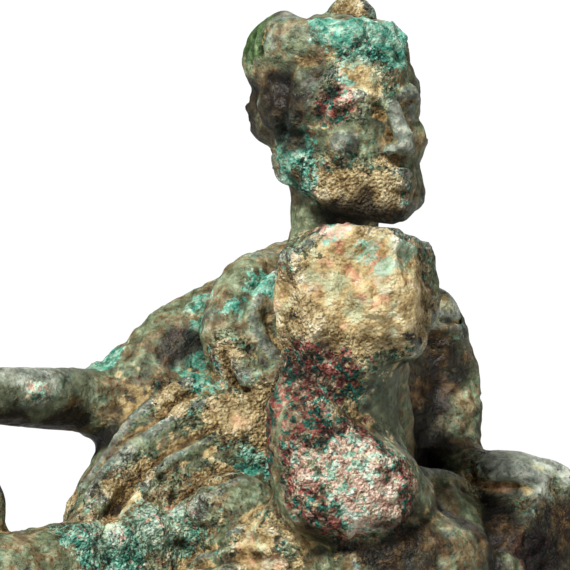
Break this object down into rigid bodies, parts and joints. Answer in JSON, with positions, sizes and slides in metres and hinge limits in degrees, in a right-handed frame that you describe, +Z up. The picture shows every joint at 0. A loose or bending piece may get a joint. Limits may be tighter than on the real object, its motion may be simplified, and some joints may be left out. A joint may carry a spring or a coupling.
{
  "type": "seated mercury statuette",
  "caption": "Small cast bronze statuette of a seated god in a winged cap on a rock, purse in hand, with a low moulded plinth.",
  "frame": {"origin": "middle of the plinth's flat underside", "axes": "+Z up through the seated figure; the god faces -Y, and his right hand with the purse is towards -X"},
  "size_m": [0.066, 0.052, 0.0813],
  "materials": {
    "patinated_bronze": "excavated bronze: dark olive patina with green and turquoise crusts, red cuprite and tan earth",
    "plinth_bronze": "smoother dark olive patina with green in the mouldings"
  },
  "bodies": {
    "root": {"mercury_figure": "patinated_bronze", "low_plinth": "plinth_bronze"}
  },
  "joints": []
}
